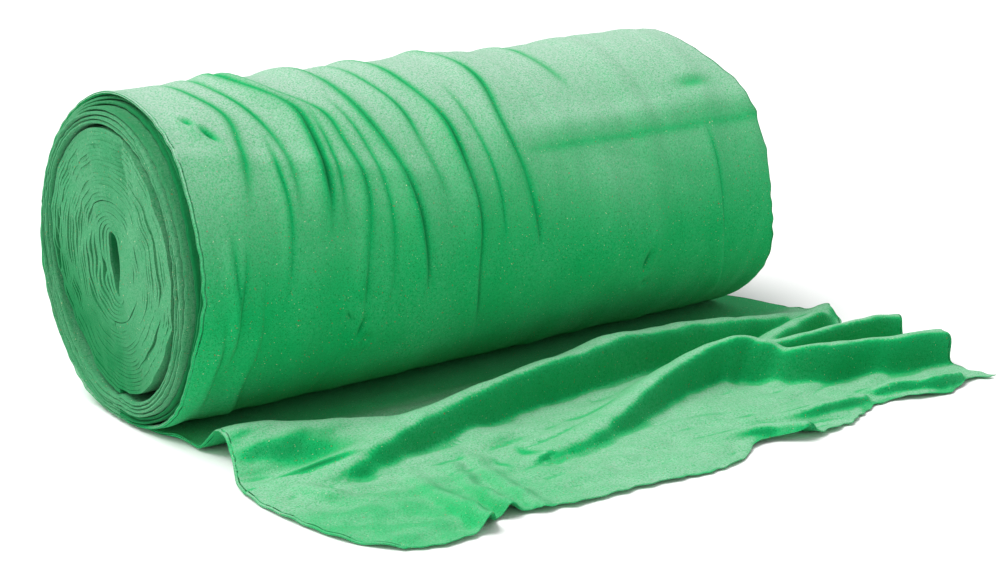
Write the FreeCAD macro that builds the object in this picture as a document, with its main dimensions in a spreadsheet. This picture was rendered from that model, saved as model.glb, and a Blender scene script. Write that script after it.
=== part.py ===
import FreeCAD, Part
import Sketcher
import math
import os

# A coreless roll of thick napped cloth lying on its side, with a loose tail on the floor.
# It is one continuous web. Its nodes are stretches of that web: the loose outer turns, the
# tight pack inside them, the heart around the collapsed eye, and the tail.
# +X runs along the roll, the tail leaves towards -Y, +Z is up. The origin is on the floor,
# under the middle of the roll. Lengths are in millimetres.

doc = FreeCAD.newDocument("cloth_roll")

DRIVING_SIZES = {
    # the web
    "web_width": 1000.0,
    "web_thickness": 4.6,
    "turn_pitch": 5.0,
    # the loose outer turns, which sag into a flat on the floor
    "roll_radius": 217.0,
    "sag": 4.7,
    "feed_length": 60.0,
    # the tight pack inside them: its slack all round, and how far it rides up off their floor
    "pack_slack": 8.5,
    "pack_rise": 3.0,
    "pack_proud": 7.0,
    # the heart turns, from the pack's inside to the collapsed eye
    "heart_gap": 0.55,
    "heart_side_gap": 2.05,
    "heart_proud": 12.0,
    "eye_half_width": 3.0,
    # the loose tail: where its side edges lie from the web's own, and its folds
    "tail_gap": 0.5,
    "tail_rest_height": 0.3,
    "tail_reach": 575.0,
    "tail_left_inset": 45.0,
    "tail_left_flare": 50.0,
    "tail_right_overhang": 62.0,
    "fold_height": 58.0,
    "fold_width": 62.0,
    "corner_lift": 22.0,
    "corner_width": 75.0,
    "flat_beside_roll": 60.0,
    "rise_length": 100.0,
    "edge_fall_length": 85.0,
}

LOOSE_TURNS = 7
HALVES_PER_NODE = 4
PACK_NODES = 9
HEART_NODES = 4
PACK_HALVES = PACK_NODES * HALVES_PER_NODE
HEART_HALVES = HEART_NODES * HALVES_PER_NODE
TAIL_STRIPS = 16
TAIL_STATIONS = 36

sheet = doc.addObject("Spreadsheet::Sheet", "Sizes")
for row, (name, value) in enumerate(DRIVING_SIZES.items(), start=1):
    sheet.set(f"A{row}", name)
    sheet.set(f"B{row}", str(value))
    sheet.setAlias(f"B{row}", name)
doc.recompute()


class Size:
    """A length, together with the sheet expression that it is bound to."""

    def __init__(self, value, text):
        self.value = value
        self.text = text

    def combined(self, sign, other):
        if not isinstance(other, Size):
            other = Size(float(other), str(other))
        results = {
            "+": self.value + other.value,
            "-": self.value - other.value,
            "*": self.value * other.value,
            "/": self.value / other.value if other.value else 0.0,
        }
        return Size(results[sign], f"({self.text} {sign} {other.text})")

    def __add__(self, other):
        return self.combined("+", other)

    def __sub__(self, other):
        return self.combined("-", other)

    def __mul__(self, other):
        return self.combined("*", other)

    def __truediv__(self, other):
        return self.combined("/", other)

    def __neg__(self):
        return Size(-self.value, f"-({self.text})")


def size(name):
    """One of the sheet's driving sizes."""
    return Size(float(sheet.get(name)), f"Sizes.{name}")


web_width = size("web_width")
thickness = size("web_thickness")
pitch = size("turn_pitch")
roll_radius = size("roll_radius")
axis_height = roll_radius - size("sag")

pack_radius = roll_radius - pitch * LOOSE_TURNS - size("pack_slack")
pack_axis_height = axis_height + size("pack_rise")

# the heart fills the pack's innermost half turn, so the eye's height follows from it
pack_inside = pack_radius - pitch * ((PACK_HALVES - 1) / 2) - thickness + pitch / 4
heart_reach = pack_inside - size("heart_gap")
eye_half_height = heart_reach - thickness - pitch * (HEART_HALVES / 2)
heart_half_width = pack_inside - pitch / 2 - size("heart_side_gap")
heart_side_step = (heart_half_width - thickness - size("eye_half_width")) / (HEART_HALVES - 1)

ORIGIN = -1
VERTICAL_AXIS = -2
START = 1
END = 2
CENTRE = 3
QUARTER = math.pi / 2


def origin_plane(body, role):
    """The body's own origin plane with this role."""
    return next(item for item in body.Origin.OriginFeatures if item.Role == role)


def new_section(label):
    """A body with an empty sketch across the roll: sketch x is +Y, sketch y is +Z."""
    body = doc.addObject("PartDesign::Body", label)
    body.Label = label
    sketch = body.newObject("Sketcher::SketchObject", label + "_section")
    sketch.AttachmentSupport = [(origin_plane(body, "YZ_Plane"), "")]
    sketch.MapMode = "FlatFace"
    return body, sketch


def pad_section(body, sketch, label):
    """Extrude the section to the width of the web, half to each side."""
    pad = body.newObject("PartDesign::Pad", label + "_web")
    pad.Profile = sketch
    pad.SideType = "Symmetric"
    pad.setExpression("Length", web_width.text)
    body.Tip = pad
    return pad


def constrain(sketch, kind, *elements):
    """Add a constraint with no dimension."""
    sketch.addConstraint(Sketcher.Constraint(kind, *elements))


def drive(sketch, kind, elements, dimension):
    """Add a dimension bound to the sheet."""
    index = sketch.addConstraint(Sketcher.Constraint(kind, *elements, dimension.value))
    sketch.setExpression(f"Constraints[{index}]", dimension.text)


def set_height(sketch, element, point, height):
    """Hold one point of an element at a height above the floor."""
    drive(sketch, "DistanceY", (ORIGIN, START, element, point), height)


def add_arc(sketch, centre_height, radius, first_angle, last_angle):
    """An arc centred on the vertical axis, run anticlockwise."""
    circle = Part.Circle(FreeCAD.Vector(0, centre_height, 0), FreeCAD.Vector(0, 0, 1), radius)
    arc = sketch.addGeometry(Part.ArcOfCircle(circle, first_angle, last_angle))
    constrain(sketch, "PointOnObject", arc, CENTRE, VERTICAL_AXIS)
    return arc


def add_line(sketch, start, end):
    """A straight edge between two (y, z) points."""
    return sketch.addGeometry(Part.LineSegment(FreeCAD.Vector(*start, 0), FreeCAD.Vector(*end, 0)))


def close_faces(sketch, outer_ends, inner_ends):
    """Join the web's outer face to its inner face with a short edge at each end."""
    for (outer, outer_point), (inner, inner_point) in zip(outer_ends, inner_ends):
        outer_place = sketch.getPoint(outer, outer_point)
        inner_place = sketch.getPoint(inner, inner_point)
        edge = add_line(sketch, (outer_place.x, outer_place.y), (inner_place.x, inner_place.y))
        constrain(sketch, "Coincident", edge, START, outer, outer_point)
        constrain(sketch, "Coincident", edge, END, inner, inner_point)


def loose_face(sketch, number, inset):
    """One face of a loose turn, inset from its outside: along the floor, up the back, over
    the top and down the front, to land one layer above the floor that it started from."""
    radius = roll_radius - pitch * number - inset
    floor = pitch * number + inset
    landing_floor = floor + pitch
    front_radius = radius - pitch / 2
    front_centre = axis_height + pitch / 2
    back_drop = axis_height.value - floor.value
    front_drop = front_centre.value - landing_floor.value
    back_reach = math.sqrt(radius.value ** 2 - back_drop ** 2)
    front_reach = math.sqrt(front_radius.value ** 2 - front_drop ** 2)
    leads = number == 0
    flat_start = -size("feed_length").value if leads else 0.0

    flat = add_line(sketch, (flat_start, floor.value), (back_reach, floor.value))
    back_angle = math.atan2(-back_drop, back_reach)
    back = add_arc(sketch, axis_height.value, radius.value, back_angle, QUARTER)
    front_angle = math.pi + math.atan2(front_drop, front_reach)
    front = add_arc(sketch, front_centre.value, front_radius.value, QUARTER, front_angle)
    landing = add_line(sketch, (-front_reach, landing_floor.value), (0.0, landing_floor.value))

    constrain(sketch, "Horizontal", flat)
    constrain(sketch, "Horizontal", landing)
    if floor.value > 0:
        set_height(sketch, flat, START, floor)
    else:
        constrain(sketch, "PointOnObject", flat, START, ORIGIN)
    set_height(sketch, landing, START, landing_floor)
    if leads:
        drive(sketch, "DistanceX", (flat, START, ORIGIN, START), size("feed_length"))
    else:
        constrain(sketch, "PointOnObject", flat, START, VERTICAL_AXIS)
    constrain(sketch, "PointOnObject", landing, END, VERTICAL_AXIS)
    set_height(sketch, back, CENTRE, axis_height)
    set_height(sketch, front, CENTRE, front_centre)
    drive(sketch, "Radius", (back,), radius)
    constrain(sketch, "Coincident", flat, END, back, START)
    constrain(sketch, "Coincident", back, END, front, START)
    constrain(sketch, "PointOnObject", back, END, VERTICAL_AXIS)
    constrain(sketch, "Coincident", front, END, landing, START)
    return (flat, START), (landing, END)


def loose_turn(number):
    """One loose turn. Turn 0 is the outermost and carries the strip that feeds the tail."""
    label = "lead_turn" if number == 0 else f"loose_turn_{number}"
    body, sketch = new_section(label)
    outer = loose_face(sketch, number, thickness * 0)
    inner = loose_face(sketch, number, thickness)
    close_faces(sketch, outer, inner)
    pad_section(body, sketch, label)
    return body


def pack_face(sketch, number, inset):
    """One face of a stretch of the pack, as half turns winding inwards. They are centred a
    quarter pitch below and above the axis in turn, so each is half a pitch smaller."""
    radius = pack_radius - pitch * (number * HALVES_PER_NODE / 2) - inset
    first = None
    previous = None
    for half in range(HALVES_PER_NODE):
        at_back = half % 2 == 0
        centre = pack_axis_height - pitch / 4 if at_back else pack_axis_height + pitch / 4
        first_angle = -QUARTER if at_back else QUARTER
        half_radius = radius.value - half * pitch.value / 2
        arc = add_arc(sketch, centre.value, half_radius, first_angle, first_angle + math.pi)
        set_height(sketch, arc, CENTRE, centre)
        if previous is None:
            drive(sketch, "Radius", (arc,), radius)
            constrain(sketch, "PointOnObject", arc, START, VERTICAL_AXIS)
            first = arc
        else:
            constrain(sketch, "Coincident", previous, END, arc, START)
        constrain(sketch, "PointOnObject", arc, END, VERTICAL_AXIS)
        previous = arc
    return (first, START), (previous, END)


def pack_stretch(number):
    """Two turns of the tight round pack, counted from its outside."""
    label = f"pack_turns_{number + 1}"
    body, sketch = new_section(label)
    outer = pack_face(sketch, number, thickness * 0)
    inner = pack_face(sketch, number, thickness)
    close_faces(sketch, outer, inner)
    pad_section(body, sketch, label)
    body.setExpression(".Placement.Base.x", (-size("pack_proud")).text)
    return body


def heart_half(sketch, half, inset):
    """Half a turn around the flat eye: a quarter arc, a straight side and a quarter arc. Even
    halves run down the +Y side and odd ones up the -Y side, each looser at its side than the
    last. The two crowns, where it meets the axis, come back in the order it is wound."""
    downwards = half % 2 == 0
    side = 1 if downwards else -1
    radius = size("eye_half_width") + thickness - inset + heart_side_step * half
    entry_reach = eye_half_height + thickness - inset + pitch * (half / 2)
    exit_reach = entry_reach + pitch / 2
    top_reach = entry_reach if downwards else exit_reach
    bottom_reach = exit_reach if downwards else entry_reach
    top_centre = pack_axis_height.value + top_reach.value - radius.value
    bottom_centre = pack_axis_height.value - bottom_reach.value + radius.value
    top_first_angle = 0.0 if downwards else QUARTER
    bottom_first_angle = -QUARTER if downwards else math.pi
    top = add_arc(sketch, top_centre, radius.value, top_first_angle, top_first_angle + QUARTER)
    bottom = add_arc(sketch, bottom_centre, radius.value, bottom_first_angle, bottom_first_angle + QUARTER)
    straight = add_line(sketch, (side * radius.value, top_centre), (side * radius.value, bottom_centre))
    top_side, top_crown = (START, END) if downwards else (END, START)
    bottom_side, bottom_crown = (END, START) if downwards else (START, END)
    constrain(sketch, "Vertical", straight)
    constrain(sketch, "Tangent", top, top_side, straight, START)
    constrain(sketch, "Tangent", bottom, bottom_side, straight, END)
    drive(sketch, "Radius", (top,), radius)
    top_end = (top, top_crown, pack_axis_height + top_reach)
    bottom_end = (bottom, bottom_crown, pack_axis_height - bottom_reach)
    return (top_end, bottom_end) if downwards else (bottom_end, top_end)


def heart_face(sketch, number, inset):
    """One face of a stretch of the heart, wound outwards around the eye."""
    first = None
    previous = None
    for half in range(number * HALVES_PER_NODE, (number + 1) * HALVES_PER_NODE):
        entry, leave = heart_half(sketch, half, inset)
        if previous is None:
            constrain(sketch, "PointOnObject", entry[0], entry[1], VERTICAL_AXIS)
            set_height(sketch, *entry)
            first = entry
        else:
            constrain(sketch, "Coincident", previous[0], previous[1], entry[0], entry[1])
        constrain(sketch, "PointOnObject", leave[0], leave[1], VERTICAL_AXIS)
        set_height(sketch, *leave)
        previous = leave
    return first[:2], previous[:2]


def heart_stretch(number):
    """Two turns around the collapsed eye, counted from the eye outwards."""
    label = f"heart_turns_{number + 1}"
    body, sketch = new_section(label)
    outer = heart_face(sketch, number, thickness * 0)
    inner = heart_face(sketch, number, thickness)
    close_faces(sketch, outer, inner)
    pad_section(body, sketch, label)
    body.setExpression(".Placement.Base.x", (-size("heart_proud")).text)
    return body


def smooth_step(value):
    """0 below 0, 1 above 1, with no kink in slope or curvature between."""
    value = min(max(value, 0.0), 1.0)
    return value ** 3 * (value * (6 * value - 15) + 10)


def bell(distance, width):
    """1 at no distance, falling smoothly to nothing over about twice the width."""
    return math.exp(-(distance / width) ** 2)


def tail_lift(across, distance):
    """Height of the tail's underside. across runs from 0 at the near edge to 1 at the far
    edge, and distance is how far out from the roll's axis. Two folds run slantwise."""
    reach = size("tail_reach").value
    fold_height = size("fold_height").value
    fold_width = size("fold_width").value
    long_fold_place = reach * (0.775 - 0.295 * across)
    front_fold_place = reach * (1.08 - 0.35 * across)
    long_fold_growth = 0.55 + 0.45 * smooth_step(across * 2)
    front_fold_growth = smooth_step((across - 0.25) * 2)
    folds = fold_height * long_fold_growth * bell(distance - long_fold_place, fold_width)
    folds += fold_height * front_fold_growth * bell(distance - front_fold_place, fold_width)
    corner = size("corner_lift").value * bell(across, 0.25)
    corner *= bell(distance - reach * 0.435, size("corner_width").value)
    flat_until = size("feed_length").value + size("flat_beside_roll").value
    leaves_flat = smooth_step((distance - flat_until) / size("rise_length").value)
    meets_edge = smooth_step((reach - distance) / size("edge_fall_length").value)
    return size("tail_rest_height").value + (folds * meets_edge + corner) * leaves_flat


def tail_section(across):
    """One closed cross-section of the tail, in the slanting plane at this place across it."""
    near = (size("feed_length") + size("tail_gap")).value
    reach = size("tail_reach").value
    left_near = -web_width.value / 2 + size("tail_left_inset").value
    right = web_width.value / 2 + size("tail_right_overhang").value
    under_points = []
    for station in range(TAIL_STATIONS + 1):
        outward = station / TAIL_STATIONS
        distance = near + (reach - near) * outward
        left = left_near - size("tail_left_flare").value * outward
        place = left + (right - left) * across
        under_points.append(FreeCAD.Vector(place, -distance, tail_lift(across, distance)))
    up = FreeCAD.Vector(0, 0, thickness.value)
    over_points = [point + up for point in under_points]
    under = Part.BSplineCurve()
    under.interpolate(under_points)
    over = Part.BSplineCurve()
    over.interpolate(over_points)
    cut_edge = Part.makeLine(under_points[-1], over_points[-1])
    feed_edge = Part.makeLine(over_points[0], under_points[0])
    return Part.Wire(Part.__sortEdges__([under.toShape(), cut_edge, over.toShape(), feed_edge]))


def tail_node():
    """The loose tail: a free-form sheet of cloth, lofted through its cross-sections."""
    sections = [tail_section(strip / TAIL_STRIPS) for strip in range(TAIL_STRIPS + 1)]
    feature = doc.addObject("Part::Feature", "tail")
    feature.Label = "tail"
    feature.Shape = Part.makeLoft(sections, True, True)
    feature.Placement = FreeCAD.Placement()
    return feature


nodes = [tail_node()]
nodes += [loose_turn(number) for number in range(LOOSE_TURNS)]
nodes += [pack_stretch(number) for number in range(PACK_NODES)]
nodes += [heart_stretch(number) for number in range(HEART_NODES)]
doc.recompute()

for item in doc.Objects:
    if "Invalid" in item.State or "Error" in item.State:
        raise RuntimeError(f"{item.Label} is in state {item.State}")
for node in nodes:
    if node.Shape.isNull() or not node.Shape.isValid() or len(node.Shape.Solids) != 1:
        raise RuntimeError(f"{node.Label} is not one valid solid")

os.makedirs("parts", exist_ok=True)
for node in nodes:
    node.Shape.exportStep(f"parts/{node.Label}.step")
    print(f"{node.Label}: {node.Shape.Volume:.0f} cubic millimetres")
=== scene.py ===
import math

import bpy
import numpy as np
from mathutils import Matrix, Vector


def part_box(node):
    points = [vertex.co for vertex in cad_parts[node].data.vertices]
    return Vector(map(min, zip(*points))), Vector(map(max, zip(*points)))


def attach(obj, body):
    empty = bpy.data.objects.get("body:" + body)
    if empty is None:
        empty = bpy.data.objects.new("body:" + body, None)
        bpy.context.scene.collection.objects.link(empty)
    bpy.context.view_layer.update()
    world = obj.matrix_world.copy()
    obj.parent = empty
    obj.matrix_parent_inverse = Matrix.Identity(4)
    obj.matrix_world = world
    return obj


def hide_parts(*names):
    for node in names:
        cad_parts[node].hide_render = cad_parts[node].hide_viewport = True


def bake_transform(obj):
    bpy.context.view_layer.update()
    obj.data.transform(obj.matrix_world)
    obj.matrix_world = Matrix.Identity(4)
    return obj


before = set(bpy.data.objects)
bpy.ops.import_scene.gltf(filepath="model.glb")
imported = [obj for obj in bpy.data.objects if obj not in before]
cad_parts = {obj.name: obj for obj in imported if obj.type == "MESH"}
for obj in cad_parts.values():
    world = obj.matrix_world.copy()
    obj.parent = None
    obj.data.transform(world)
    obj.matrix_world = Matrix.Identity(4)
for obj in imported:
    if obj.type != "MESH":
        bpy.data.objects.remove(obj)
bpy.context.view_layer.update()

# A coreless roll of thick napped cloth, lying on its side with a loose, folded tail.
# Metres, in the CAD frame: +X along the roll, the tail leaves towards -Y, +Z is up.
# An angle round the roll runs from 0 at the floor, up the back (+Y), over the top (180
# degrees) and down the front (270 degrees, the tail's side).

THICKNESS = 0.0046
PITCH = 0.0050
FULL_TURN = 2 * math.pi

roll_low, roll_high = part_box("lead_turn")
pack_low, pack_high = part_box("pack_turns_1")
heart_low, heart_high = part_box("heart_turns_4")

NEAR_END = roll_low[0]
FAR_END = roll_high[0]
ROLL_RADIUS = roll_high[1]
AXIS_HEIGHT = roll_high[2] - ROLL_RADIUS
LOOSE_TURNS = 7
PACK_RADIUS = pack_high[1]
PACK_HEIGHT = (pack_low[2] + pack_high[2]) / 2
PACK_TURNS = 18
HEART_RADIUS = (heart_high[2] - heart_low[2]) / 2
HEART_TURNS = 8


# ---------------------------------------------------------------- smooth shapes

def smooth_step(value, low=0.0, high=1.0):
    """0 below low, 1 above high, smooth between."""
    share = np.clip((np.asarray(value, float) - low) / (high - low), 0, 1)
    return share * share * (3 - 2 * share)


def bell(distance, width):
    """1 at no distance, falling to nothing over about twice the width."""
    return np.exp(-np.square(distance / width))


def follow(value, places):
    """A smooth line through given (where, what) pairs, level beyond its ends."""
    where = np.array([place[0] for place in places], float)
    what = np.array([place[1] for place in places], float)
    slopes = np.gradient(what, where)
    value = np.clip(value, where[0], where[-1])
    index = np.clip(np.searchsorted(where, value) - 1, 0, len(where) - 2)
    span = where[index + 1] - where[index]
    t = (value - where[index]) / span
    start = ((2 * t ** 3 - 3 * t ** 2 + 1) * what[index]
             + (t ** 3 - 2 * t ** 2 + t) * span * slopes[index])
    end = ((3 * t ** 2 - 2 * t ** 3) * what[index + 1]
           + (t ** 3 - t ** 2) * span * slopes[index + 1])
    return start + end


class Ripple:
    """A smooth random field: many waves of about one length, in random directions."""

    def __init__(self, seed, lengths, waves=28):
        chance = np.random.default_rng(seed)
        lengths = np.array(lengths, float)
        directions = chance.normal(size=(waves, len(lengths)))
        directions /= np.linalg.norm(directions, axis=1)[:, None]
        self.turns = directions * FULL_TURN / lengths * chance.uniform(0.6, 1.5, (waves, 1))
        self.phases = chance.uniform(0, FULL_TURN, waves)
        self.scale = math.sqrt(2 / waves)

    def __call__(self, *places):
        total = 0.0
        for turn, phase in zip(self.turns, self.phases):
            travelled = sum(rate * place for rate, place in zip(turn, places))
            total = total + np.cos(travelled + phase)
        return total * self.scale


# ---------------------------------------------------------------- cloth as a mesh

def rim_spread(steps, rounding=THICKNESS, rim_share=0.42):
    """Places across the web, 0 to 1, with extra columns at both selvedges to round them,
    and each column's share of the full thickness."""
    inside = np.linspace(0, 1, steps)
    edge = np.array([0.0, 0.12, 0.45, 0.9]) * rounding
    near = edge / (FAR_END - NEAR_END)
    places = np.concatenate([near, inside[1:-1], 1 - near[::-1]])
    shares = np.ones(len(places))
    rounded = rim_share + (1 - rim_share) * np.array([0.0, 0.55, 0.91, 1.0])
    shares[:4] = rounded
    shares[-4:] = rounded[::-1]
    return places, shares


def cloth_mesh(name, middle, half_thickness, painted_shade, square_cut=False):
    """A closed sheet around a grid of mid-surface points, rows along the web. The colour value,
    0 to 1, is painted light: from 0 to 0.5 the painted sheen fades, and from 0.5 to 1 painted
    shade darkens the cloth, as in a crease. square_cut keeps the selvedges' narrow faces flat."""
    along = np.gradient(middle, axis=0)
    across = np.gradient(middle, axis=1)
    normal = np.cross(along, across)
    normal /= np.maximum(np.linalg.norm(normal, axis=2, keepdims=True), 1e-12)
    rows, columns = middle.shape[:2]
    faces_up = middle + normal * half_thickness[..., None]
    faces_down = middle - normal * half_thickness[..., None]
    vertices = np.concatenate([faces_up.reshape(-1, 3), faces_down.reshape(-1, 3)])
    index = np.arange(rows * columns).reshape(rows, columns)
    under = index + rows * columns
    quads = [
        grid_quads(index),
        grid_quads(under)[:, ::-1],
        np.stack([index[1:, 0], index[:-1, 0], under[:-1, 0], under[1:, 0]], 1),
        np.stack([index[:-1, -1], index[1:, -1], under[1:, -1], under[:-1, -1]], 1),
        np.stack([index[0, :-1], index[0, 1:], under[0, 1:], under[0, :-1]], 1),
        np.stack([index[-1, 1:], index[-1, :-1], under[-1, :-1], under[-1, 1:]], 1),
    ]
    faces_before_rims = len(quads[0]) + len(quads[1])
    rim_faces = len(quads[2]) + len(quads[3])
    quads = np.concatenate(quads)
    mesh = bpy.data.meshes.new(name)
    mesh.vertices.add(len(vertices))
    mesh.vertices.foreach_set("co", vertices.astype(np.float32).ravel())
    mesh.loops.add(quads.size)
    mesh.loops.foreach_set("vertex_index", quads.astype(np.int32).ravel())
    mesh.polygons.add(len(quads))
    mesh.polygons.foreach_set("loop_start", np.arange(0, quads.size, 4, dtype=np.int32))
    mesh.polygons.foreach_set("loop_total", np.full(len(quads), 4, np.int32))
    mesh.update(calc_edges=True)
    smooth = np.ones(len(mesh.polygons), bool)
    if square_cut:
        smooth[faces_before_rims:faces_before_rims + rim_faces] = False
    mesh.polygons.foreach_set("use_smooth", smooth)
    # Painted light per vertex: painted sheen fades up to 0.5, painted shade grows above it.
    attribute = mesh.attributes.new("painted_shade", "FLOAT", "POINT")
    both_faces = np.concatenate([painted_shade.ravel(), painted_shade.ravel()])
    attribute.data.foreach_set("value", both_faces.astype(np.float32))
    piece = bpy.data.objects.new(name, mesh)
    bpy.context.scene.collection.objects.link(piece)
    return piece


def grid_quads(index):
    """The quads between neighbouring points of a grid."""
    corners = [index[:-1, :-1], index[:-1, 1:], index[1:, 1:], index[1:, :-1]]
    return np.stack([corner.ravel() for corner in corners], 1)


# ---------------------------------------------------------------- the loose outer turns

# Each crease follows the cloth round the roll: (angle, place along the roll) points, then
# the width of its drop, its height, and the width of its rise.
CREASES = [
    ([(160, -0.425), (194, -0.410), (209, -0.394), (224, -0.402),
      (250, -0.418)], 0.007, 0.0040, 0.018),
    ([(150, -0.385), (194, -0.368), (211, -0.356), (224, -0.347),
      (253, -0.346)], 0.006, 0.0040, 0.016),
    ([(150, -0.345), (199, -0.321), (208, -0.301), (222, -0.298), (234, -0.302),
      (262, -0.308)], 0.007, 0.0085, 0.020),
    ([(150, -0.320), (199, -0.298), (211, -0.266), (227, -0.256), (240, -0.248), (277, -0.266),
      (300, -0.263)], 0.006, 0.0055, 0.014),
    ([(140, -0.235), (200, -0.216), (218, -0.205), (236, -0.192), (250, -0.182), (268, -0.174),
      (295, -0.172)], 0.007, 0.0090, 0.024),
    ([(150, -0.180), (200, -0.160), (215, -0.148), (235, -0.142),
      (258, -0.128)], 0.006, 0.0050, 0.015),
    ([(130, -0.120), (202, -0.110), (221, -0.097), (240, -0.094), (257, -0.086), (285, -0.084),
      (318, -0.055)], 0.007, 0.0070, 0.020),
    ([(150, -0.020), (208, 0.000), (229, -0.009), (246, 0.001), (262, 0.008),
      (290, 0.021)], 0.007, 0.0075, 0.026),
    ([(212, -0.360), (229, -0.362), (243, -0.363), (264, -0.372),
      (288, -0.383)], 0.005, 0.0030, 0.011),
    ([(200, -0.285), (215, -0.280), (235, -0.282), (260, -0.290)], 0.005, 0.0034, 0.010),
    ([(200, -0.250), (215, -0.236), (235, -0.226), (262, -0.222),
      (300, -0.230)], 0.005, 0.0034, 0.012),
    ([(200, -0.060), (225, -0.055), (255, -0.048), (285, -0.040)], 0.005, 0.0032, 0.012),
    ([(244, -0.449), (254, -0.449), (265, -0.449), (276, -0.447),
      (304, -0.452)], 0.005, 0.0068, 0.012),
    ([(250, -0.430), (260, -0.434), (276, -0.445), (300, -0.449)], 0.004, 0.0064, 0.009),
    ([(262, -0.408), (275, -0.411), (289, -0.414), (305, -0.424),
      (345, -0.393)], 0.005, 0.0060, 0.012),
    ([(270, -0.460), (279, -0.463), (302, -0.469), (330, -0.458)], 0.005, 0.0054, 0.010),
    ([(285, -0.300), (300, -0.296), (320, -0.300), (348, -0.290)], 0.006, 0.0030, 0.014),
    ([(230, 0.336), (239, 0.340), (256, 0.346), (277, 0.358),
      (325, 0.412)], 0.006, 0.0046, 0.020),
    ([(120, 0.120), (150, 0.116), (170, 0.126), (195, 0.128),
      (220, 0.142)], 0.008, 0.0040, 0.022),
    ([(60, -0.300), (100, -0.290), (130, -0.305), (168, -0.290)], 0.007, 0.0060, 0.018),
    ([(60, -0.050), (95, -0.060), (125, -0.045), (158, -0.060)], 0.008, 0.0060, 0.020),
    ([(60, 0.250), (90, 0.255), (120, 0.240), (165, 0.250)], 0.008, 0.0050, 0.020),
    ([(80, -0.440), (110, -0.430), (140, -0.440), (172, -0.435)], 0.006, 0.0045, 0.014),
]
# Short pits where the cloth is pinched: angle, place, width round (degrees), width along,
# depth, and how far the pit leans along the roll for each degree.
PITS = [
    (216, -0.432, 3.4, 0.0060, 0.0090, 0.0018),
    (209, -0.449, 2.2, 0.0060, 0.0065, 0.0014),
    (291, -0.268, 4.6, 0.0060, 0.0110, -0.0010),
    (286, -0.285, 3.4, 0.0060, 0.0080, 0.0020),
    (296, -0.256, 2.0, 0.0120, 0.0060, 0.0),
    (287, 0.212, 5.6, 0.0070, 0.0120, -0.0006),
    (298, 0.224, 2.8, 0.0110, 0.0070, 0.0010),
    (222, 0.350, 3.0, 0.0320, 0.0045, 0.0),
]
# Degrees over which a crease fades out at each end.
CREASE_FADE = 25
slow_lumps = Ripple(3, (0.34, 0.9))
small_lumps = Ripple(4, (0.09, 0.35))
crease_wander = Ripple(5, (0.6, 0.4))
soft_pleats = Ripple(8, (0.042, 1.4))


def degrees_round(angle):
    """The angle in degrees, 0 to 360."""
    return np.degrees(angle) % 360


def crease_relief(place, degrees):
    """How far the outermost cloth stands out from the roll along its creases, and the painted
    shade in its valleys and pits, 0 to 1. A crease rises softly, then drops steeply."""
    relief = np.zeros(np.broadcast(place, degrees).shape)
    painted_shade = np.zeros(relief.shape)
    for points, width, height, rise in CREASES:
        first, last = points[0][0], points[-1][0]
        wander = crease_wander(degrees / 90.0, points[0][1] * 9.0)
        line = follow(degrees, points) + 0.0010 * wander
        fade = (smooth_step(degrees, first, first + CREASE_FADE)
                * (1 - smooth_step(degrees, last - CREASE_FADE, last)))
        offset = place - line + 0.9 * width
        crest = np.where(offset < 0, bell(offset, rise), bell(offset, 0.55 * width))
        fade = fade * (0.92 + 0.16 * crease_wander(degrees / 70.0, points[0][1] * 31.0))
        relief += fade * height * crest
        # Painted shade along the crease's valley, darker for taller creases.
        tint = fade * min(0.45 + height / 0.018, 0.9)
        tint_width = (0.85 + 70 * height) * width
        painted_shade = np.maximum(painted_shade, tint * bell(offset - 0.9 * width, tint_width))
    for angle, along, round_width, along_width, depth, lean in PITS:
        offset = place - along - lean * (degrees - angle)
        pit = bell(degrees - angle, round_width) * bell(offset, along_width)
        rim = bell(degrees - angle, 1.9 * round_width) * bell(offset, 1.9 * along_width)
        relief += 0.7 * depth * (rim - 1.6 * pit)
        # Painted shade in the pit, darker for deeper pits.
        painted_shade = np.maximum(painted_shade, min(depth / 0.010, 0.95) * pit)
    far_part = smooth_step(place, -0.05, 0.10)
    near_part = 1 - smooth_step(place, -0.20, -0.10)
    far_ledge = far_part * bell(degrees - 231, 6.0) * 0.0050
    near_ledge = near_part * bell(degrees - 227 - 60 * (place + 0.4), 4.0) * 0.0020
    relief += far_ledge + near_ledge
    # Painted shade in a narrow line just below the far ledge.
    painted_shade = np.maximum(painted_shade, 0.4 * far_part * bell(degrees - 238.5, 2.0))
    return relief, painted_shade


def outer_radius(place, degrees, depth):
    """Radius of the loose turns' cloth at a depth below the outermost one. The turns lie
    close underneath and stand apart only where the cloth swells outwards."""
    around = np.cos(np.radians(degrees)) * 0.6
    swell = 0.0026 * (1 + slow_lumps(place, around))
    gathered = 0.007 * bell(place - 0.33, 0.10) * bell(degrees - 195, 45)
    swell = np.maximum(swell, 0) + gathered
    swell = swell * smooth_step(degrees, 20, 70) * (1 - smooth_step(degrees, 300, 350))
    slack = 0.0042 * bell(degrees - 90, 50) + 0.0020 * bell(degrees - 255, 50)
    inner_slack = smooth_step(depth, 0.005, 0.032) * slack
    return ROLL_RADIUS - depth + swell * bell(depth, 0.020) - inner_slack


# How gently the cloth meets the floor, and how far above it the floor has no hold.
FLOOR_BLEND = 0.0012
FLOOR_REACH = 0.05


def roll_points(place, angle, depth, relief):
    """Points of the loose cloth: round the roll, but never lower than its layer's floor."""
    degrees = degrees_round(angle)
    radius = outer_radius(place, degrees, depth) + relief
    y = radius * np.sin(angle)
    z = AXIS_HEIGHT - radius * np.cos(angle)
    floor = depth + THICKNESS / 2
    rested = floor + FLOOR_BLEND * np.logaddexp(0, (z - floor) / FLOOR_BLEND)
    z = np.where(rested - floor > FLOOR_REACH, z, rested)
    return np.stack(np.broadcast_arrays(place, y, z), -1)


near_rim_ripple = Ripple(11, (0.30,))
far_rim_ripple = Ripple(12, (0.22,))
fray = Ripple(13, (0.035,))


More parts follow.
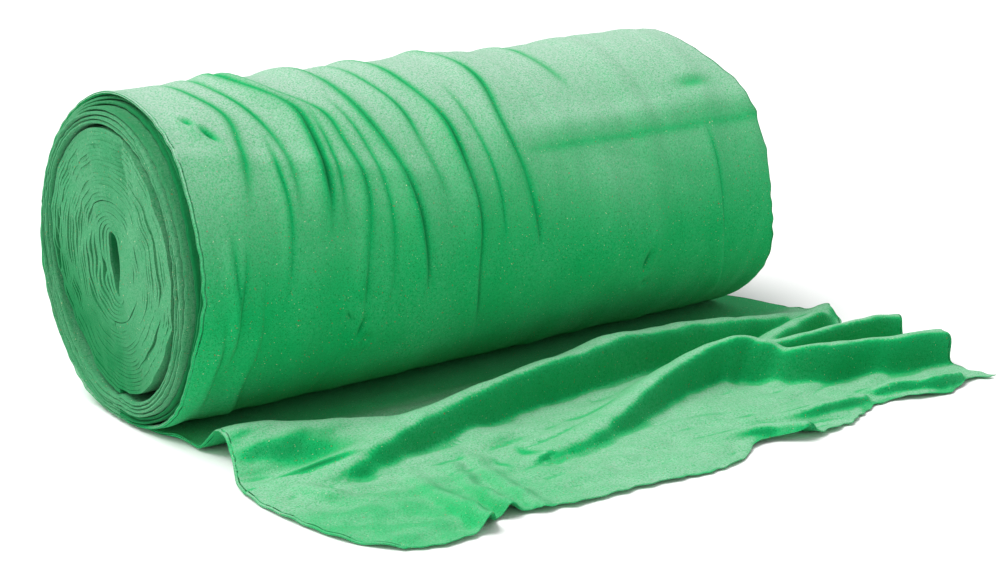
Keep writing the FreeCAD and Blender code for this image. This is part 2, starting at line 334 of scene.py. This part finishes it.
def near_rim(degrees, turn, path):
    """Where the near selvedge of a loose turn lies. turn is 0 for the outermost. The
    outer turns have slipped back at the front and the top; the inner ones stay flush
    with the pack."""
    slipped = follow(degrees, [(0, -0.508), (40, -0.512), (100, -0.508), (150, -0.496),
                               (180, -0.488), (230, -0.493), (270, -0.499), (290, -0.506),
                               (320, -0.502), (360, -0.508)])
    flush = -0.5115 + 0.002 * np.sin(np.radians(degrees * 2 + 40))
    stays = smooth_step(turn, 1.3, 4.4 + 0.6 * bell(degrees - 300, 40))
    groove = (0.008 * smooth_step(turn, 0.8, 1.2) * smooth_step(degrees, 150, 190)
              * (1 - smooth_step(degrees, 335, 358)))
    steps = 0.0020 * np.sin(2.4 * turn + 0.6) + groove
    line = slipped + steps + (flush - slipped - steps) * stays
    return line + 0.0010 * near_rim_ripple(path) + 0.0004 * fray(path)


def far_rim(degrees, turn, path):
    """Where the far selvedge of a loose turn lies. The gathered outermost turn is drawn in
    over the top, and each turn under it reaches a little further out."""
    line = follow(degrees, [(0, 0.498), (50, 0.486), (110, 0.455), (160, 0.412), (190, 0.402),
                            (208, 0.412), (238, 0.440), (272, 0.456), (299, 0.486),
                            (330, 0.495), (360, 0.498)])
    bumps = (0.006 * bell(degrees - 237, 2.2) + 0.004 * bell(degrees - 252, 2.0)
             + 0.004 * bell(degrees - 222, 3.0))
    steps = (turn * (0.0030 + 0.0105 * bell(degrees - 172, 45))
             * (1 + 0.15 * np.sin(1.7 * turn)))
    reach = np.minimum(line + steps, 0.4930 + 0.0006 * turn)
    return (reach + bumps * bell(turn, 1.5) + 0.0016 * far_rim_ripple(path)
            + 0.0006 * fray(path + 9))


# ---------------------------------------------------------------- the loose tail

# Each fold is a crest of (x, y, height) points, with the widths of its front
# and back slopes.
FOLDS = [
    ([(-0.510, -0.206, 0.026), (-0.474, -0.214, 0.040), (-0.434, -0.228, 0.044),
      (-0.400, -0.247, 0.043), (-0.337, -0.264, 0.038), (-0.262, -0.288, 0.030),
      (-0.200, -0.296, 0.012)], 0.056, 0.028),
    ([(-0.430, -0.352, 0.004), (-0.391, -0.346, 0.018), (-0.329, -0.338, 0.031),
      (-0.260, -0.324, 0.041), (-0.164, -0.307, 0.048), (-0.061, -0.288, 0.054),
      (0.030, -0.280, 0.059), (0.115, -0.272, 0.063), (0.189, -0.264, 0.057),
      (0.270, -0.265, 0.051), (0.349, -0.267, 0.043), (0.430, -0.264, 0.032),
      (0.500, -0.262, 0.020)], 0.025, 0.048),
    ([(-0.139, -0.447, 0.008), (-0.072, -0.437, 0.018), (0.006, -0.413, 0.030),
      (0.076, -0.389, 0.042), (0.140, -0.374, 0.052), (0.203, -0.368, 0.059),
      (0.242, -0.375, 0.057), (0.270, -0.398, 0.054), (0.298, -0.429, 0.052),
      (0.333, -0.448, 0.051), (0.387, -0.459, 0.051), (0.438, -0.480, 0.051),
      (0.514, -0.498, 0.050), (0.550, -0.505, 0.046)], 0.021, 0.036),
    ([(0.230, -0.372, 0.044), (0.315, -0.366, 0.040), (0.377, -0.381, 0.045),
      (0.434, -0.382, 0.046), (0.511, -0.388, 0.044), (0.580, -0.400, 0.040)], 0.018, 0.026),
    ([(0.220, -0.368, 0.040), (0.292, -0.350, 0.036), (0.377, -0.325, 0.036),
      (0.473, -0.293, 0.032), (0.580, -0.240, 0.022)], 0.020, 0.028),
    ([(-0.485, -0.322, 0.004), (-0.462, -0.326, 0.009), (-0.432, -0.337, 0.011),
      (-0.398, -0.342, 0.010), (-0.350, -0.348, 0.005)], 0.024, 0.007),
    ([(-0.323, -0.390, 0.002), (-0.338, -0.460, 0.008), (-0.342, -0.520, 0.015),
      (-0.345, -0.590, 0.022)], 0.009, 0.014),
    ([(-0.270, -0.400, 0.003), (-0.290, -0.470, 0.008), (-0.300, -0.530, 0.013),
      (-0.300, -0.590, 0.018)], 0.008, 0.012),
    ([(-0.235, -0.385, 0.003), (-0.250, -0.450, 0.006), (-0.258, -0.510, 0.008),
      (-0.262, -0.560, 0.006)], 0.008, 0.014),
    ([(-0.455, -0.352, 0.006), (-0.436, -0.395, 0.008), (-0.405, -0.425, 0.003)], 0.012, 0.014),
    ([(-0.170, -0.395, 0.003), (-0.130, -0.400, 0.009), (-0.080, -0.395, 0.010),
      (-0.020, -0.385, 0.004)], 0.012, 0.022),
    ([(0.020, -0.520, 0.002), (0.080, -0.540, 0.010), (0.120, -0.560, 0.016),
      (0.150, -0.585, 0.018)], 0.010, 0.016),
    ([(0.130, -0.505, 0.003), (0.185, -0.532, 0.010), (0.240, -0.540, 0.013),
      (0.306, -0.540, 0.010)], 0.010, 0.014),
    ([(0.337, -0.530, 0.008), (0.372, -0.541, 0.014), (0.427, -0.562, 0.015),
      (0.480, -0.560, 0.010)], 0.008, 0.012),
    ([(-0.500, -0.060, 0.002), (-0.494, -0.105, 0.014), (-0.490, -0.150, 0.008)], 0.012, 0.012),
]
# Painted shade on shaded slopes and in slits of the tail: place, half sizes, strength.
PAINTED_SHADE_PATCHES = [
    (-0.405, -0.282, 0.065, 0.034, 0.62),
    (-0.412, -0.318, 0.046, 0.009, 1.00),
    (0.100, -0.455, 0.060, 0.012, 0.35),
    (-0.170, -0.420, 0.012, 0.030, 0.55),
    (-0.215, -0.430, 0.008, 0.034, 0.50),
]
LEFT_EDGE = [(0.00, -0.500, 0.000), (0.10, -0.492, -0.058), (0.25, -0.480, -0.145),
             (0.40, -0.484, -0.230), (0.55, -0.507, -0.316), (0.74, -0.503, -0.425),
             (0.90, -0.480, -0.513), (1.00, -0.448, -0.560)]
CUT_EDGE = [(0.00, -0.448, -0.560), (0.05, -0.398, -0.577), (0.10, -0.345, -0.570),
            (0.14, -0.307, -0.552), (0.20, -0.255, -0.568), (0.32, -0.124, -0.582),
            (0.46, 0.025, -0.594), (0.54, 0.098, -0.560), (0.60, 0.145, -0.582),
            (0.69, 0.237, -0.582), (0.77, 0.325, -0.552), (0.88, 0.441, -0.580),
            (0.95, 0.506, -0.562), (1.00, 0.543, -0.576)]
RIGHT_EDGE = [(0.00, 0.500, 0.000), (0.12, 0.540, -0.070), (0.25, 0.556, -0.140),
              (0.40, 0.562, -0.225), (0.55, 0.545, -0.315), (0.70, 0.550, -0.400),
              (0.86, 0.524, -0.490), (1.00, 0.543, -0.576)]
# How far a fold leans towards the cut edge, as a share of its height.
LEAN = 0.45
# Folds that meet are joined by a soft maximum of this power, and a slope falls off by this one.
UNION_POWER = 4.0
SLOPE_POWER = 2.4
# Steps along a fold's crest for each of its points.
CREST_STEPS = 12
# The tail lies this far above the floor.
TAIL_CLEARANCE = 0.0002
tail_wrinkles = Ripple(21, (0.16, 0.05))
tail_grain = Ripple(22, (0.05, 0.04))
edge_wear = Ripple(23, (0.030, 0.030))


def edge_line(share, points):
    """A point (x, y) along one of the tail's edges."""
    x = follow(share, [(point[0], point[1]) for point in points])
    y = follow(share, [(point[0], point[2]) for point in points])
    return np.stack([x, y], -1)


def tail_plan(across, outward):
    """Where the tail's cloth lies on the floor, between its three edges and the roll."""
    left = edge_line(outward, LEFT_EDGE)
    right = edge_line(outward, RIGHT_EDGE)
    cut = edge_line(across, CUT_EDGE)
    feed = np.stack([NEAR_END + (FAR_END - NEAR_END) * across, 0 * across], -1)
    u, v = across[..., None], outward[..., None]
    corner_left = np.array([CUT_EDGE[0][1], CUT_EDGE[0][2]])
    corner_right = np.array([CUT_EDGE[-1][1], CUT_EDGE[-1][2]])
    feed_left = np.array([NEAR_END, 0.0])
    feed_right = np.array([FAR_END, 0.0])
    sides = (1 - u) * left + u * right
    ends = (1 - v) * feed + v * cut
    corners = ((1 - u) * (1 - v) * feed_left + u * (1 - v) * feed_right
               + (1 - u) * v * corner_left + u * v * corner_right)
    return sides + ends - corners


def fold_height(x, y):
    """Height of the tail's cloth above the floor, as the soft union of the ridges in FOLDS."""
    total = np.zeros(x.shape)
    for points, front, back in FOLDS:
        points = np.array(points)
        share = np.linspace(0, 1, len(points))
        dense = np.linspace(0, 1, CREST_STEPS * len(points))
        line = [follow(dense, list(zip(share, points[:, k]))) for k in range(3)]
        line[1] = line[1] + LEAN * line[2]
        tangent_x = np.gradient(line[0])
        tangent_y = np.gradient(line[1])
        nearest = np.full(x.shape, 1e9)
        height = np.zeros(x.shape)
        side = np.zeros(x.shape)
        for px, py, pz, tx, ty in zip(line[0], line[1], line[2], tangent_x, tangent_y):
            gap = np.hypot(x - px, y - py)
            closer = gap < nearest
            nearest = np.where(closer, gap, nearest)
            height = np.where(closer, pz, height)
            side = np.where(closer, tx * (y - py) - ty * (x - px), side)
        in_front = smooth_step(-side / (np.abs(side) + 1e-9) * nearest / 0.006, -1, 1)
        width = back + (front - back) * in_front
        rise = np.exp(-np.power(nearest / width, SLOPE_POWER))
        total += np.power(np.maximum(height * rise, 0), UNION_POWER)
    return np.power(total, 1 / UNION_POWER)


def tail_points(across, outward):
    """Mid-surface points of the tail, and the painted light on each one: dimmed painted sheen,
    painted shade in hollows, on steep fronts and under the roll.
    """
    plan = tail_plan(across, outward)
    x, y = plan[..., 0], plan[..., 1]
    leaves_flat = smooth_step(-y, 0.10, 0.20)
    height = fold_height(x, y) * smooth_step(-y, 0.06, 0.12)
    height = (height + (0.0014 * tail_wrinkles(x, y) + 0.0020) * leaves_flat
              + 0.0005 * (1 + tail_grain(x, y)) * leaves_flat)
    height = np.maximum(height, 0) + THICKNESS / 2 + TAIL_CLEARANCE
    worn = smooth_step(outward, 0.97, 1.0) * 0.0012 * edge_wear(x, y)
    hollow = np.gradient(np.gradient(height, axis=0), axis=0) / np.square(np.gradient(y, axis=0))
    steep = np.gradient(height, axis=0) / np.gradient(y, axis=0)
    # Painted shade in hollows and on steep fronts, which face away from the light.
    hollow_shade = 0.45 * smooth_step(hollow, 8.0, 60.0)
    slope_shade = 0.72 * smooth_step(steep, 0.15, 1.0)
    painted_shade = np.maximum(hollow_shade, slope_shade) * leaves_flat
    # Painted sheen dimmed evenly over the tail, and more towards its front-left.
    mottled = np.clip(0.5 + 0.6 * tail_grain(x, y), 0, 1)
    front = smooth_step(-x, 0.10, 0.35) * smooth_step(-y, 0.38, 0.46)
    even_tint = 0.20 + 0.04 * mottled
    front_tint = 0.15 + 0.03 * mottled
    painted_shade = np.maximum(painted_shade, even_tint + front_tint * front)
    # Painted shade patches.
    for shade_x, shade_y, shade_width, shade_depth, strength in PAINTED_SHADE_PATCHES:
        slanted_y = y - shade_y - 0.25 * (shade_x - x)
        patch = strength * bell(x - shade_x, shade_width) * bell(slanted_y, shade_depth)
        painted_shade = np.maximum(painted_shade, patch)
    # Painted shade under the roll: full where the tail touches it, about half in its shadow
    # further out.
    roll_contact_shade = smooth_step(y, -0.045, -0.020)
    roll_overhang_shade = 0.46 * smooth_step(y, -0.225, -0.150)
    painted_shade = np.maximum(painted_shade, np.maximum(roll_contact_shade, roll_overhang_shade))
    frayed = smooth_step(across, 0.985, 1.0) * 0.0030 * edge_wear(x, y) * leaves_flat
    leaning = LEAN * np.maximum(height - 0.004, 0)
    return np.stack([x + frayed, y + worn - leaning, height], -1), painted_shade


# ---------------------------------------------------------------- building the pieces

# Fineness of each piece: columns across the web and rows along it.
OUTER_COLUMNS, OUTER_ROWS, TAIL_ROWS = 400, 300, 170
LOOSE_COLUMNS, LOOSE_ROWS = 24, 180
WOUND_COLUMNS, PACK_ROWS, HEART_ROWS = 14, 180, 150
# A painted-light value that leaves neither painted sheen nor painted shade on the cloth.
NO_PAINTED_LIGHT = 0.5
# The outermost cloth stands this far out of its own radius, and never less than nothing.
OUTER_LIFT = 0.0016
LIFT_BLEND = 0.0010
# The last rows of the tail, up to its cut edge, and what is left there of its thickness.
LAST_ROWS = [0.9875, 0.9945, 0.998, 1.0]
CUT_ROUNDING = np.array([0.95, 0.80, 0.58, 0.35])


def outer_cloth():
    """The outermost turn and the tail it runs into: one stretch of cloth."""
    columns, shares = rim_spread(OUTER_COLUMNS)
    turn_rows = np.linspace(FULL_TURN, 0, OUTER_ROWS)[:-1]
    degrees = degrees_round(turn_rows)[:, None]
    degrees[0] = 360
    path = (turn_rows * ROLL_RADIUS)[:, None]
    near = near_rim(degrees, turn_rows[:, None] / FULL_TURN, path)
    far = far_rim(degrees, turn_rows[:, None] / FULL_TURN, path)
    flat_share = 1 - smooth_step(turn_rows, 0.0, 0.5)[:, None]
    near = near + (NEAR_END - near) * flat_share
    far = far + (FAR_END - far) * flat_share
    place = near + (far - near) * columns[None, :]
    depth = (THICKNESS / 2 + PITCH * turn_rows / FULL_TURN)[:, None]
    relief, painted_shade = crease_relief(place, degrees)
    relief = (relief + 0.0010 * small_lumps(place, path) + 0.0006 * soft_pleats(place, path)
              + OUTER_LIFT)
    relief = LIFT_BLEND * np.logaddexp(0, relief / LIFT_BLEND)
    wound_share = smooth_step(degrees, 12, 50) * (1 - smooth_step(degrees, 330, 355))
    relief *= wound_share
    painted_shade = np.clip(painted_shade * wound_share, 0, 1)
    # Painted shade low on the front, where the roll meets the floor and the tail.
    contact_shade = 0.9 * smooth_step(degrees, 334, 350) * (1 - smooth_step(degrees, 352, 359))
    painted_shade = np.maximum(painted_shade, contact_shade)
    wound = roll_points(place, turn_rows[:, None], depth - THICKNESS / 2,
                        relief - THICKNESS / 2)
    outward = np.concatenate([np.linspace(0, 0.98, TAIL_ROWS), LAST_ROWS])
    laid, laid_shade = tail_points(*np.meshgrid(columns, outward))
    middle = np.concatenate([wound, laid])
    painted_shade = np.concatenate([painted_shade, laid_shade])
    half = np.full(middle.shape[:2], THICKNESS / 2)
    half[len(wound):] *= (1 - 0.35 * smooth_step(outward, 0.15, 0.35))[:, None]
    half *= shares[None, :]
    half[-len(CUT_ROUNDING):] *= CUT_ROUNDING[:, None]
    return cloth_mesh("outer_cloth", middle, half, painted_shade)


def loose_cloth(number):
    """One of the loose turns under the outermost one."""
    columns, shares = rim_spread(LOOSE_COLUMNS)
    angles = np.linspace(FULL_TURN * number, FULL_TURN * (number + 1), LOOSE_ROWS)
    turn = (angles / FULL_TURN)[:, None]
    degrees = degrees_round(angles)[:, None]
    degrees[-1] = 360
    path = (angles * ROLL_RADIUS)[:, None]
    near = near_rim(degrees, turn, path)
    far = far_rim(degrees, turn, path)
    place = near + (far - near) * columns[None, :]
    middle = roll_points(place, angles[:, None], PITCH * turn, -THICKNESS / 2)
    half = np.full(middle.shape[:2], THICKNESS / 2) * shares[None, :]
    # Painted shade along the near rims of the outer loose turns, from over the top down to the
    # floor; no painted sheen elsewhere.
    groove_shade = (0.95 * (1 - smooth_step(turn, 3.2, 4.5)) * smooth_step(degrees, 120, 200)
               * bell(columns[None, :], 0.05))
    painted_shade = np.maximum(groove_shade, NO_PAINTED_LIGHT)
    return cloth_mesh(f"loose_turn_cloth_{number}", middle, half, painted_shade, square_cut=True)


# The far face of the pack lies this much deeper than the near one stands out.
FAR_FACE_SUNK = 0.012
# The web's own length, to the noise along a wound rim, for each radian of turn.
RIM_TRAVEL = 0.10
pack_rim_ripple = Ripple(31, (0.16,))
rim_wear = Ripple(34, (0.07,))
pack_rim_slow = Ripple(32, (0.14, 0.14))
pack_rim_soft = Ripple(35, (0.045, 0.045))


def face_height(y, z, path):
    """Where the pack's near rims lie along the roll, from their place on the end face."""
    radius = np.hypot(y, z - PACK_HEIGHT)
    degrees = np.degrees(np.arctan2(y, PACK_HEIGHT - z)) % 360
    proud = NEAR_END - 0.009 - 0.007 * smooth_step(-y, -0.05, 0.17)
    cupped = 0.006 * bell(radius - 0.02, 0.05)
    side = y + 0.061 - 0.30 * (z - 0.345)
    dent = (0.018 * smooth_step(side, -0.003, 0.004) * bell(np.maximum(side, 0), 0.034)
            * bell(z - 0.347, 0.030))
    lip = -0.003 * bell(side + 0.010, 0.010) * bell(z - 0.34, 0.05)
    low_back = 0.008 * bell(np.hypot(y - 0.10, z - 0.095), 0.07)
    front_gap = 0.011 * bell(degrees - 274, 32) * bell(radius - 0.142, 0.0026)
    back_gap_radius = 0.152 + 0.0006 * (104 - degrees)
    back_gap = 0.006 * bell(degrees - 84, 24) * bell(radius - back_gap_radius, 0.0024)
    eye_slit = 0.010 * bell(y - 0.0285, 0.0030) * bell(z - 0.210, 0.012)
    hollows = cupped + dent + lip + low_back + front_gap + back_gap + eye_slit
    ripples = (0.0015 * pack_rim_slow(y, z) + 0.0009 * pack_rim_soft(y, z)
               + 0.0003 * pack_rim_ripple(path))
    return proud + hollows + ripples


def wound_cloth(name, angles, y, z, thicker, in_eye):
    """A wound stretch of the web, from the line its turns follow on the end face. in_eye
    says how far each row has turned into the eye, 0 to 1, and so how much painted shade it gets."""
    columns, shares = rim_spread(WOUND_COLUMNS, rim_share=0.88)
    near = face_height(y, z, RIM_TRAVEL * angles)
    far = near + (FAR_END - NEAR_END) - FAR_FACE_SUNK
    place = near[:, None] + (far - near)[:, None] * columns[None, :]
    middle = np.stack(np.broadcast_arrays(place, y[:, None], z[:, None]), -1)
    frayed_side = 0.25 + 0.75 * smooth_step(y - (z - PACK_HEIGHT), 0.0, 0.12)
    uneven = np.clip((0.6 + 0.6 * rim_wear(RIM_TRAVEL * angles)) * frayed_side, 0.0, 1.4)
    half = PITCH / 2 * thicker * (1 - (1 - shares[None, :]) * uneven[:, None])
    # No painted sheen on the wound cloth, and painted shade towards the end face's lower back.
    shaded = 0.5 + 0.45 * smooth_step(0.235 - z + 0.5 * (y - 0.05), 0.0, 0.16)
    # Painted shade on the cloth behind the rim, where the rows turn into the eye.
    behind_rim = smooth_step(columns[None, :], 0.0, 0.005)
    painted_shade = np.maximum(in_eye[:, None] * behind_rim, shaded[:, None])
    return cloth_mesh(name, middle, half, painted_shade, square_cut=True)


# The pack's outermost cloth keeps this clear of the CAD radius, and its innermost one this
# clear of the heart.
PACK_INSET = 0.0026
HEART_GAP = 0.0010
PACK_THICKER = 1.02


def pack_cloth(number):
    """Two of the tight round turns between the loose ones and the heart. The last one stops
    half a degree early, so that its end doesn't touch the heart's first turn."""
    angles = np.linspace(2 * (number - 1), 2 * number, PACK_ROWS) * FULL_TURN
    if number == PACK_TURNS // 2:
        angles[-1] -= math.radians(0.5)
    degrees = degrees_round(angles)
    turns_in = np.floor(angles / FULL_TURN + 1e-9)
    turns_in = turns_in + smooth_step(angles / FULL_TURN - turns_in, 0.62, 1.0)
    outside = PACK_RADIUS - PACK_INSET
    inside = HEART_RADIUS + PITCH / 2 + HEART_GAP
    radius = outside + (inside - outside) * turns_in / (PACK_TURNS - 1)
    parted = 0.0036 * bell(degrees - 276, 30) * smooth_step(radius, 0.140, 0.143)
    radius = radius + parted * (1 - smooth_step(radius, 0.150, 0.172))
    y = radius * np.sin(angles)
    z = PACK_HEIGHT - radius * np.cos(angles)
    return wound_cloth(f"pack_cloth_{number}", angles, y, z, PACK_THICKER, 0 * angles)


# Beside the eye the heart's turns lie this far apart, the first this far inside the CAD's.
SIDE_PITCH = 0.0086
SIDE_INSET = 0.0030
# How far the flattened turns lean at the eye: sideways for each metre up, and as a whole.
EYE_SLANT = 0.20
EYE_SHIFT = 0.006


def heart_cloth(number):
    """Two of the turns around the collapsed eye, flatter and more slanted towards it;
    number 1 is at the eye, as in the CAD model. The cloth is fluffed up at the eye's sides,
    where it isn't squeezed flat."""
    first = HEART_TURNS - 2 * number
    angles = np.linspace(first, first + 2, HEART_ROWS) * FULL_TURN
    turns_in = np.floor(angles / FULL_TURN + 1e-9)
    turns_in = turns_in + smooth_step(angles / FULL_TURN - turns_in, 0.55, 1.0)
    tall = HEART_RADIUS - PITCH / 2 - PITCH * turns_in
    wide = HEART_RADIUS - SIDE_INSET - SIDE_PITCH * turns_in
    inward = turns_in / HEART_TURNS
    rise = -tall * np.cos(angles)
    slant = EYE_SLANT * inward * rise - EYE_SHIFT * inward ** 2
    y = wide * np.sin(angles) + slant
    z = PACK_HEIGHT + rise
    turn = angles / FULL_TURN
    thicker = 0.97 + 0.62 * np.square(np.sin(angles)) * smooth_step(turn, 0.2, 1.2)
    # How far each row has turned into the eye, for its painted shade.
    in_eye = smooth_step(turn, HEART_TURNS - 1.2, HEART_TURNS - 0.6)
    return wound_cloth(f"heart_cloth_{number}", angles, y, z, thicker[:, None], in_eye)


# ---------------------------------------------------------------- napped cloth

def napped_cloth(name, base, pale, deep, nap_height):
    """Soft, brushed cloth of mixed fibre: mottled colour, stray flecks, fuzzy sheen."""
    material = bpy.data.materials.new(name)
    material.use_nodes = True
    nodes = material.node_tree.nodes
    links = material.node_tree.links
    shader = nodes["Principled BSDF"]
    shader.inputs["Roughness"].default_value = 0.95
    shader.inputs["Specular IOR Level"].default_value = 0.05
    shader.inputs["Sheen Weight"].default_value = 0.07
    shader.inputs["Sheen Roughness"].default_value = 0.5
    shader.inputs["Sheen Tint"].default_value = (0.75, 1.0, 0.85, 1.0)
    place = nodes.new("ShaderNodeTexCoord")

    def noise(scale, detail, roughness=0.6):
        node = nodes.new("ShaderNodeTexNoise")
        node.inputs["Scale"].default_value = scale
        node.inputs["Detail"].default_value = detail
        node.inputs["Roughness"].default_value = roughness
        links.new(place.outputs["Object"], node.inputs["Vector"])
        return node.outputs["Fac"]

    def ramp(source, low, high):
        node = nodes.new("ShaderNodeMapRange")
        node.inputs["From Min"].default_value = low
        node.inputs["From Max"].default_value = high
        links.new(source, node.inputs["Value"])
        return node.outputs["Result"]

    def product(first, second):
        node = nodes.new("ShaderNodeMath")
        node.operation = "MULTIPLY"
        links.new(first, node.inputs[0])
        links.new(second, node.inputs[1])
        return node.outputs["Value"]

    def mix(share, first, second):
        node = nodes.new("ShaderNodeMix")
        node.data_type = "RGBA"
        links.new(share, node.inputs["Factor"])
        for value, socket in ((first, node.inputs["A"]), (second, node.inputs["B"])):
            if isinstance(value, tuple):
                socket.default_value = value
            else:
                links.new(value, socket)
        return node.outputs["Result"]

    clouds = ramp(noise(9.0, 3.0), 0.35, 0.65)
    mottle = ramp(noise(260.0, 4.0, 0.7), 0.36, 0.64)
    colour = mix(clouds, base, mix(mottle, base, pale))
    colour = mix(ramp(noise(620.0, 2.0), 0.50, 0.72), colour, deep)
    colour = mix(ramp(noise(330.0, 1.0), 0.735, 0.77), colour, RED_FLECK)
    colour = mix(ramp(noise(410.0, 1.0), 0.745, 0.78), colour, STRAW_FLECK)
    # The mesh attribute of painted light, which drives the painted sheen and the painted shade
    # below.
    shade_attribute = nodes.new("ShaderNodeAttribute")
    shade_attribute.attribute_name = "painted_shade"
    surface = nodes.new("ShaderNodeNewGeometry")
    direction = nodes.new("ShaderNodeSeparateXYZ")
    links.new(surface.outputs["Normal"], direction.inputs["Vector"])
    # Painted sheen: pale on up-facing surfaces, where the light from above falls, in noisy
    # patches, only where the attribute is under 0.5.
    upward = ramp(direction.outputs["Z"], -0.25, 1.05)
    patchy = ramp(noise(420.0, 3.0, 0.7), 0.25, 0.58)
    sheen_allowed = ramp(shade_attribute.outputs["Fac"], 0.5, 0.0)
    painted_sheen_share = product(product(upward, upward), product(patchy, sheen_allowed))
    colour = mix(painted_sheen_share, colour, PAINTED_SHEEN)
    # Painted shade: from 0.5 to 1 the attribute darkens the cloth towards a deep shade green.
    colour = mix(ramp(shade_attribute.outputs["Fac"], 0.5, 1.0), colour, PAINTED_SHADE_GREEN)
    links.new(colour, shader.inputs["Base Color"])

    fuzz = nodes.new("ShaderNodeBump")
    fuzz.inputs["Strength"].default_value = 0.55
    fuzz.inputs["Distance"].default_value = nap_height
    links.new(noise(900.0, 3.0, 0.75), fuzz.inputs["Height"])
    pile = nodes.new("ShaderNodeBump")
    pile.inputs["Strength"].default_value = 0.45
    pile.inputs["Distance"].default_value = nap_height * 3
    links.new(noise(170.0, 4.0, 0.65), pile.inputs["Height"])
    links.new(fuzz.outputs["Normal"], pile.inputs["Normal"])
    links.new(pile.outputs["Normal"], shader.inputs["Normal"])
    return material


GREEN = (0.006, 0.450, 0.130, 1.0)
PALE_GREEN = (0.050, 0.500, 0.190, 1.0)
DEEP_GREEN = (0.001, 0.250, 0.055, 1.0)
# Painted sheen colour for lit, up-facing cloth.
PAINTED_SHEEN = (0.500, 0.630, 0.550, 1.0)
# Painted shade colour for creases, hollows, the eye and under the roll.
PAINTED_SHADE_GREEN = (0.0, 0.190, 0.050, 1.0)
RED_FLECK = (0.30, 0.10, 0.045, 1.0)
STRAW_FLECK = (0.62, 0.66, 0.40, 1.0)
EDGE_GREEN = (0.055, 0.310, 0.132, 1.0)
PALE_EDGE = (0.13, 0.38, 0.20, 1.0)
DEEP_EDGE = (0.012, 0.225, 0.070, 1.0)
NAP_HEIGHT = 0.0010
surface_cloth = napped_cloth("napped_surface", GREEN, PALE_GREEN, DEEP_GREEN, NAP_HEIGHT)
edge_cloth = napped_cloth("cut_edges", EDGE_GREEN, PALE_EDGE, DEEP_EDGE, NAP_HEIGHT)

outer = outer_cloth()
outer.data.materials.append(surface_cloth)
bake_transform(outer)
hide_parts("lead_turn", "tail")


def wound_piece(piece, body, node):
    """Dress one wound stretch, let it ride on its body and hide the CAD part it stands for."""
    piece.data.materials.append(edge_cloth)
    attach(piece, body)
    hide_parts(node)


for number in range(1, LOOSE_TURNS):
    wound_piece(loose_cloth(number), "loose_turns", f"loose_turn_{number}")
for number in range(1, PACK_TURNS // 2 + 1):
    wound_piece(pack_cloth(number), "pack", f"pack_turns_{number}")
for number in range(1, HEART_TURNS // 2 + 1):
    wound_piece(heart_cloth(number), "heart", f"heart_turns_{number}")


# ---------------------------------------------------------------- floor, light and camera

def floor_and_light():
    """A plain pale floor and soft studio light, mostly from above and behind the left."""
    bpy.ops.mesh.primitive_plane_add(size=30, location=(0, 0, -0.0005))
    floor = bpy.context.object
    floor.name = "floor"
    material = bpy.data.materials.new("pale_floor")
    material.use_nodes = True
    shader = material.node_tree.nodes["Principled BSDF"]
    shader.inputs["Base Color"].default_value = (0.97, 0.97, 0.97, 1.0)
    shader.inputs["Roughness"].default_value = 0.9
    floor.data.materials.append(material)
    world = bpy.data.worlds.new("soft_world")
    world.use_nodes = True
    background = world.node_tree.nodes["Background"]
    background.inputs["Color"].default_value = (1.0, 1.0, 1.0, 1.0)
    background.inputs["Strength"].default_value = 0.62
    bpy.context.scene.world = world
    add_sun((-0.45, 0.18, 1.0), 2.6)
    add_area_light("left_fill", (-3.2, 0.2, 1.3), (0.0, 0.0, 0.2), 1.8, 14.0)


def add_sun(direction, strength):
    """Even, very soft light from high up."""
    data = bpy.data.lights.new("high_soft_light", "SUN")
    data.energy = strength
    data.angle = math.radians(36)
    light = bpy.data.objects.new("high_soft_light", data)
    light.rotation_euler = Vector(direction).to_track_quat("Z", "Y").to_euler()
    bpy.context.scene.collection.objects.link(light)


def add_area_light(name, place, target, width, power):
    """A square soft light aimed at a point."""
    data = bpy.data.lights.new(name, "AREA")
    data.size = width
    data.energy = power
    light = bpy.data.objects.new(name, data)
    light.location = place
    direction = Vector(target) - Vector(place)
    light.rotation_euler = direction.to_track_quat("-Z", "Y").to_euler()
    bpy.context.scene.collection.objects.link(light)


def add_camera():
    """The camera, low and to the left of the near end, looking along the tail's side."""
    data = bpy.data.cameras.new("camera")
    data.sensor_width = 36.0
    data.lens = 65.26
    camera = bpy.data.objects.new("camera", data)
    camera.location = (-1.4707, -2.0606, 0.8055)
    turn_right = math.radians(37.53)
    look_down = math.radians(15.51)
    camera.rotation_euler = (math.pi / 2 - look_down, 0.0, -turn_right)
    bpy.context.scene.collection.objects.link(camera)
    bpy.context.scene.camera = camera


floor_and_light()
add_camera()
bpy.context.scene.view_settings.view_transform = "Standard"
